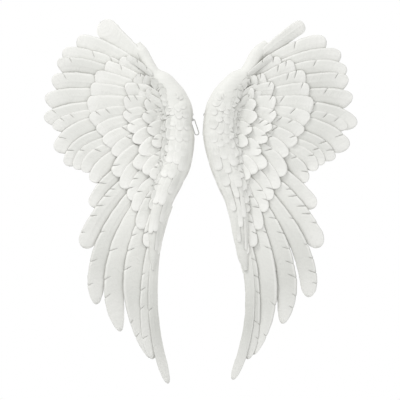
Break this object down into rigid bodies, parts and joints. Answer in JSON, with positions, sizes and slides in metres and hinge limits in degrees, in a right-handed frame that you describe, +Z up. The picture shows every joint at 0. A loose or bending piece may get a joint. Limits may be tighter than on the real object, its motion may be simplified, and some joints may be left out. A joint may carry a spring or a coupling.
{
  "type": "hanging wing ornament pair",
  "caption": "Mirror pair of layered-feather wings cast in white resin with a grey wash, flat backed, hung on a wall by hinged wire loops.",
  "frame": {"origin": "on the wall plane, midway between the two castings, at the height of the hooks that the loops hang on when they are turned up", "axes": "+Z up along the wings' height, +Y into the wall, the feathered front faces -Y, +X from the left casting to the right one"},
  "size_m": [0.4851, 0.0383, 0.562],
  "materials": {
    "white_resin": "cast resin, painted off-white, grey wash left in the recesses",
    "strap_steel": "stamped, zinc plated",
    "loop_wire": "drawn wire, dull nickel",
    "screw_zinc": "zinc plated",
    "pad_felt": "pressed felt"
  },
  "bodies": {
    "left_wing": {"left_casting": "white_resin", "left_inner_strap": "strap_steel", "left_outer_strap": "strap_steel", "left_inner_screw": "screw_zinc", "left_outer_screw": "screw_zinc", "left_top_pad": "pad_felt", "left_outer_pad": "pad_felt", "left_low_pad": "pad_felt"},
    "right_wing": {"right_casting": "white_resin", "right_inner_strap": "strap_steel", "right_outer_strap": "strap_steel", "right_inner_screw": "screw_zinc", "right_outer_screw": "screw_zinc", "right_top_pad": "pad_felt", "right_outer_pad": "pad_felt", "right_low_pad": "pad_felt"},
    "left_inner_loop": {"left_inner_loop": "loop_wire"},
    "left_outer_loop": {"left_outer_loop": "loop_wire"},
    "right_inner_loop": {"right_inner_loop": "loop_wire"},
    "right_outer_loop": {"right_outer_loop": "loop_wire"}
  },
  "joints": [
    {"name": "pair_spacing", "type": "slide", "parent": "left_wing", "child": "right_wing", "axis": [1, 0, 0], "range_m": [0, 0.25]},
    {"name": "left_inner_hinge", "type": "hinge", "parent": "left_wing", "child": "left_inner_loop", "pos_m": [-0.0116, -0.0031, -0.02244], "axis": [0.9511, 0, 0.309], "range_deg": [-3, 180]},
    {"name": "left_outer_hinge", "type": "hinge", "parent": "left_wing", "child": "left_outer_loop", "pos_m": [-0.172, -0.0031, -0.0236], "axis": [1, 0, 0], "range_deg": [-3, 180]},
    {"name": "right_inner_hinge", "type": "hinge", "parent": "right_wing", "child": "right_inner_loop", "pos_m": [0.009, -0.0031, -0.02357], "axis": [0.9986, 0, -0.0523], "range_deg": [-3, 180]},
    {"name": "right_outer_hinge", "type": "hinge", "parent": "right_wing", "child": "right_outer_loop", "pos_m": [0.172, -0.0031, -0.0236], "axis": [1, 0, 0], "range_deg": [-3, 180]}
  ]
}
